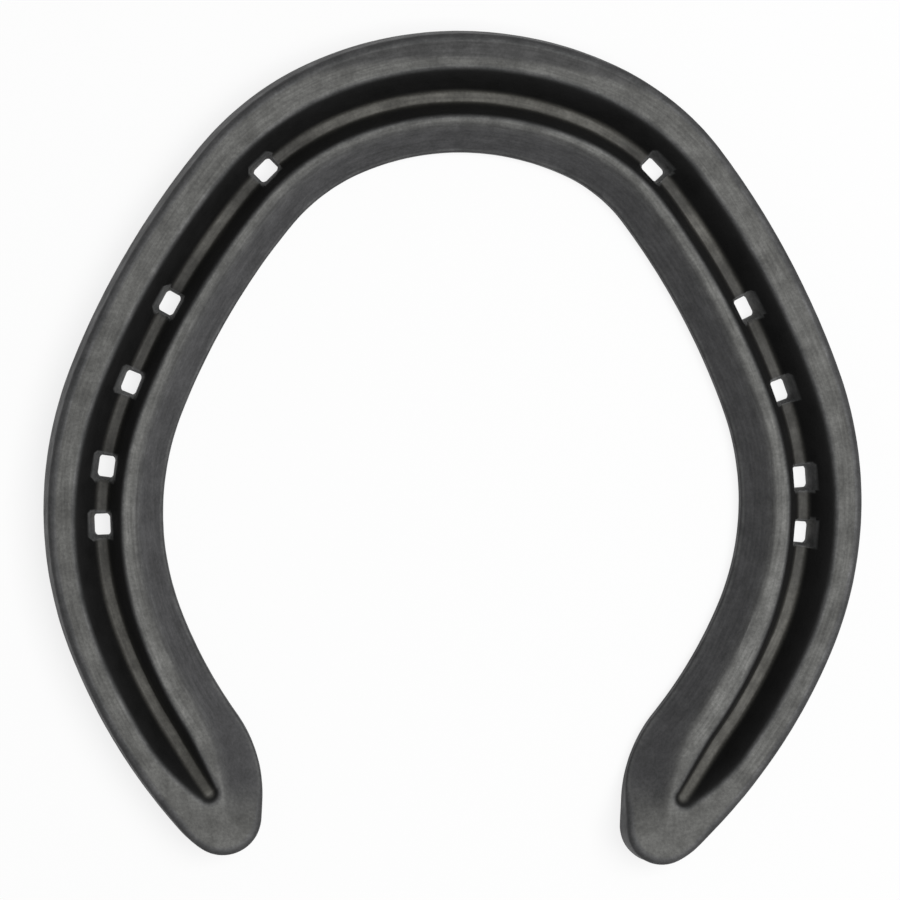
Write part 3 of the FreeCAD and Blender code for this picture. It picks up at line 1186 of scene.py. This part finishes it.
@dataclass(frozen=True)
class MillScale:
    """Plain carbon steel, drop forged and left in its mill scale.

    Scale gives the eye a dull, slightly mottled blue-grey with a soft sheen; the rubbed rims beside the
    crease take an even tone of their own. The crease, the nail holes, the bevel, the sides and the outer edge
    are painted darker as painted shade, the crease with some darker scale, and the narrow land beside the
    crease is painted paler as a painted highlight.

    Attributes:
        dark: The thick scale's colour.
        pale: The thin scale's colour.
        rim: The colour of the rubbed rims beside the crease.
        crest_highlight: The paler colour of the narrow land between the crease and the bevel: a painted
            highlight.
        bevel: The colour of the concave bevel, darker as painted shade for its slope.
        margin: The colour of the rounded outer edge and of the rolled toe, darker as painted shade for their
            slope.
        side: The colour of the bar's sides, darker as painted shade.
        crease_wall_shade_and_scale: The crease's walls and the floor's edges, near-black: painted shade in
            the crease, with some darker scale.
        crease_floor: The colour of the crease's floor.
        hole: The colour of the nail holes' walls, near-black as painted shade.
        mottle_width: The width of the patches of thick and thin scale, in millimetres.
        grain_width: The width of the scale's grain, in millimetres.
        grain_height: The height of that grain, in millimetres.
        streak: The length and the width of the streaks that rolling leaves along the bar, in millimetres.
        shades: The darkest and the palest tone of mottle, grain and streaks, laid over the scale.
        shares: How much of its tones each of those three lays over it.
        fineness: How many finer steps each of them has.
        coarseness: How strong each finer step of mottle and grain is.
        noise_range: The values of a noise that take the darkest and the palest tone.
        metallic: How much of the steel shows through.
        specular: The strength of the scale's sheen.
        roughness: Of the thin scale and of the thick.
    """

    dark: str = "#454646"
    pale: str = "#525252"
    rim: str = "#4f4f4d"
    crest_highlight: str = "#5c5c5a"
    bevel: str = "#3a3a3b"
    margin: str = "#363636"
    side: str = "#2e2e2f"
    crease_wall_shade_and_scale: str = "#080808"
    crease_floor: str = "#484743"
    hole: str = "#060606"
    mottle_width: float = 3.5
    grain_width: float = 0.5
    grain_height: float = 0.03
    streak: tuple[float, float] = (9.0, 0.45)
    shades: tuple[str, str] = ("#9c9c9c", "#d4d4d4")
    shares: tuple[float, float, float] = (0.6, 0.7, 0.7)
    fineness: tuple[float, float, float] = (5.0, 3.0, 2.0)
    coarseness: float = 0.6
    noise_range: tuple[float, float] = (0.3, 0.7)
    metallic: float = 0.15
    specular: float = 0.28
    roughness: tuple[float, float] = (0.52, 0.7)

    def build(self) -> bpy.types.Material:
        """Makes the material."""
        made = bpy.data.materials.new("forged_carbon_steel_mill_scale")
        made.use_nodes = True
        tree = made.node_tree
        shader = tree.nodes["Principled BSDF"]
        place = add_node(tree, "ShaderNodeTexCoord").outputs["Object"]

        def pattern(width: float, detail: float) -> Socket:
            """A noise whose features are a width in millimetres across."""
            inputs = {"Vector": place, "Scale": 1.0 / (width * MM), "Detail": detail}
            inputs["Roughness"] = self.coarseness
            return add_node(tree, "ShaderNodeTexNoise", inputs).outputs["Fac"]

        def contrast(noise: Socket) -> Socket:
            """A noise stretched so that it fills the range from 0 to 1."""
            low, high = self.noise_range
            inputs = {"Value": noise, "From Min": low, "From Max": high}
            return add_node(tree, "ShaderNodeMapRange", inputs).outputs[0]

        def times(first: Socket, second: float) -> Socket:
            """A value multiplied by a number."""
            return add_node(tree, "ShaderNodeMath", {0: first, 1: second}, operation="MULTIPLY").outputs[0]

        def mixed(share: object, first: object, second: object) -> Socket:
            """A share of the way from the first colour to the second."""
            node = add_node(tree, "ShaderNodeMix", {0: share, 6: first, 7: second}, data_type="RGBA")
            return node.outputs[2]

        def mark(name: str) -> Socket:
            """One of the skin's own marks."""
            return add_node(tree, "ShaderNodeAttribute", attribute_name=name).outputs["Fac"]

        mottle_steps, grain_steps, streak_steps = self.fineness
        mottle = contrast(pattern(self.mottle_width, mottle_steps))
        grain = pattern(self.grain_width, grain_steps)
        along, across = (
            times(mark(name), 1.0 / size) for name, size in zip(("along", "across"), self.streak)
        )
        line_place = add_node(tree, "ShaderNodeCombineXYZ", {0: along, 1: across}).outputs[0]
        inputs = {"Vector": line_place, "Scale": 1.0, "Detail": streak_steps}
        lines = add_node(tree, "ShaderNodeTexNoise", inputs)
        scale = mixed(mottle, linear(self.dark), linear(self.pale))
        # Each mark lays its colour over the scale: the crease wall's, the nail holes', the bevel's, the
        # sides' and the outer edge's darker colours are painted shade, the narrow land's paler colour a
        # painted highlight.
        for name, colour in (
            ("rim", self.rim),
            ("crest_highlight", self.crest_highlight),
            ("margin", self.margin),
            ("bevel", self.bevel),
            ("side", self.side),
            ("wall", self.crease_wall_shade_and_scale),
            ("floor", self.crease_floor),
            ("hole", self.hole),
        ):
            scale = mixed(mark(name), scale, linear(colour))
        of_mottle, of_grain, of_streaks = self.shares
        for share, noise in (
            (of_mottle, mottle),
            (of_grain, contrast(grain)),
            (times(mark("lengthwise"), of_streaks), contrast(lines.outputs["Fac"])),
        ):
            tone = mixed(noise, *(linear(shade) for shade in self.shades))
            inputs = {0: share, 6: scale, 7: tone}
            layer = add_node(tree, "ShaderNodeMix", inputs, data_type="RGBA", blend_type="OVERLAY")
            scale = layer.outputs[2]
        tree.links.new(scale, shader.inputs["Base Color"])
        thin, thick = self.roughness
        inputs = {"Value": mottle, "To Min": thick, "To Max": thin}
        rough = add_node(tree, "ShaderNodeMapRange", inputs)
        tree.links.new(rough.outputs[0], shader.inputs["Roughness"])
        shader.inputs["Metallic"].default_value = self.metallic
        shader.inputs["Specular IOR Level"].default_value = self.specular
        relief = {"Height": grain, "Distance": self.grain_height * MM, "Strength": 1.0}
        bump = add_node(tree, "ShaderNodeBump", relief)
        tree.links.new(bump.outputs[0], shader.inputs["Normal"])
        return made


# --- The shoe ---


@dataclass
class Horseshoe:
    """The horseshoe: a bar, forged and punched.

    Attributes:
        bar: The bar.
        forging: The work done on it.
        finish: Its finish.
    """

    bar: Bar
    forging: Forging
    finish: MillScale

    def build(self) -> bpy.types.Object:
        """Makes the finished piece, which stands for the CAD's horseshoe."""
        piece = self.forging.strike(self.bar.mesh("rough"), self.finish.build(), "horseshoe_bar")
        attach(piece, "root")
        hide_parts("horseshoe")
        log.info("%s: %d faces", piece.name, len(piece.data.polygons))
        return piece


# --- Studio ---


@dataclass
class Studio:
    """A white table under one large soft lamp, in a pale room.

    Attributes:
        floor_size: The table's width, in metres.
        board: How much light the table gives back.
        lamp_height: The lamp's height, in metres.
        lamp_size: The lamp's width, in metres.
        lamp_shift: How far the lamp stands to the right and to the toe, in metres.
        lamp_power: The lamp's power, in watts.
        room_light: The strength of the room's own light.
        shadow_share: How much of the table's own shading shows.
    """

    floor_size: float = 6.0
    board: float = 0.85
    lamp_height: float = 1.1
    lamp_size: float = 0.9
    lamp_shift: tuple[float, float] = (0.4, 0.05)
    lamp_power: float = 15.0
    room_light: float = 0.22
    shadow_share: float = 0.18

    def build(self) -> None:
        """Makes the table, the lamp and the room."""
        self._table()
        self._lamp()
        self._room()

    def _seen(self, tree: bpy.types.NodeTree) -> Socket:
        """1 where the camera sees the place, straight or in a reflection or through glass."""
        path = add_node(tree, "ShaderNodeLightPath")
        seen = path.outputs["Is Camera Ray"]
        for name in ("Is Glossy Ray", "Is Transmission Ray"):
            either = {0: seen, 1: path.outputs[name]}
            seen = add_node(tree, "ShaderNodeMath", either, operation="MAXIMUM").outputs[0]
        return seen

    def _table(self) -> None:
        """Makes the white table that the shoe lies on."""
        half = self.floor_size / 2.0
        mesh = bpy.data.meshes.new("table")
        corners = [(x * half, y * half, 0.0) for x, y in ((-1, -1), (1, -1), (1, 1), (-1, 1))]
        mesh.from_pydata(corners, [], [(0, 1, 2, 3)])
        table = add_object("table", mesh)
        material = bpy.data.materials.new("white_board")
        material.use_nodes = True
        tree = material.node_tree
        tree.nodes.remove(tree.nodes["Principled BSDF"])
        board = add_node(tree, "ShaderNodeBsdfDiffuse", {"Color": (*[self.board] * 3, 1.0)})
        glow = add_node(tree, "ShaderNodeEmission", {"Color": WHITE, "Strength": 1.0})
        shares = {0: self._seen(tree), 1: 1.0 - self.shadow_share}
        share = add_node(tree, "ShaderNodeMath", shares, operation="MULTIPLY")
        inputs = dict(enumerate(node.outputs[0] for node in (share, board, glow)))
        mix = add_node(tree, "ShaderNodeMixShader", inputs)
        tree.links.new(mix.outputs[0], tree.nodes["Material Output"].inputs["Surface"])
        mesh.materials.append(material)

    def _lamp(self) -> None:
        """Hangs the soft lamp over the shoe."""
        data = bpy.data.lights.new("soft_lamp", "AREA")
        data.shape = "SQUARE"
        data.size = self.lamp_size
        data.energy = self.lamp_power
        lamp = add_object("soft_lamp", data)
        lamp.location = (*self.lamp_shift, self.lamp_height)
        lamp.rotation_mode = "QUATERNION"
        lamp.rotation_quaternion = lamp.location.to_track_quat("Z", "Y")

    def _room(self) -> None:
        """Lights the room evenly, and shows it white."""
        world = bpy.data.worlds.new("pale_room")
        world.use_nodes = True
        tree = world.node_tree
        background = tree.nodes["Background"]
        background.inputs["Color"].default_value = WHITE
        inputs = {"Value": self._seen(tree), "To Min": self.room_light, "To Max": 1.0}
        strength = add_node(tree, "ShaderNodeMapRange", inputs)
        tree.links.new(strength.outputs[0], background.inputs["Strength"])
        bpy.context.scene.world = world


@dataclass
class Viewpoint:
    """A camera almost straight above the shoe.

    Attributes:
        target: What it looks at, in millimetres.
        slant: How far it leans to the left and to the toe, in degrees.
        roll: How far it is turned, in degrees.
        distance: How far off it stands, in millimetres.
        lens: Its focal length, in millimetres, for the 36 mm frame.
    """

    target: tuple[float, float, float] = (-1.401, -0.281, 4.0)
    slant: tuple[float, float] = (5.66, 3.5)
    roll: float = 2.655
    distance: float = 900.0
    lens: float = 223.9

    def build(self) -> None:
        """Makes the camera, and makes it the scene's."""
        left, toe = (math.tan(math.radians(angle)) for angle in self.slant)
        back = Vector((-left, toe, 1.0)).normalized()
        roll = math.radians(self.roll)
        right = (-back).cross(Vector((-math.sin(roll), math.cos(roll), 0.0))).normalized()
        frame_up = right.cross(-back)
        data = bpy.data.cameras.new("camera")
        data.lens = self.lens
        camera = add_object("camera", data)
        turned = Matrix((right, frame_up, back)).transposed().to_4x4()
        place = (Vector(self.target) + back * self.distance) * MM
        camera.matrix_world = Matrix.Translation(place) @ turned
        bpy.context.scene.camera = camera


def main() -> None:
    """Builds the shoe, the studio and the camera."""
    logging.basicConfig(level=logging.INFO, format="%(name)s: %(message)s")
    bar = Bar(BarSizes(), CreaseSizes(), ToneSizes(), Levels())
    Horseshoe(bar, Forging(bar, NailHoleSizes(), ForgingSizes()), MillScale()).build()
    Studio().build()
    Viewpoint().build()
    bpy.context.scene.view_settings.view_transform = "Standard"


if __name__ == "__main__":
    main()
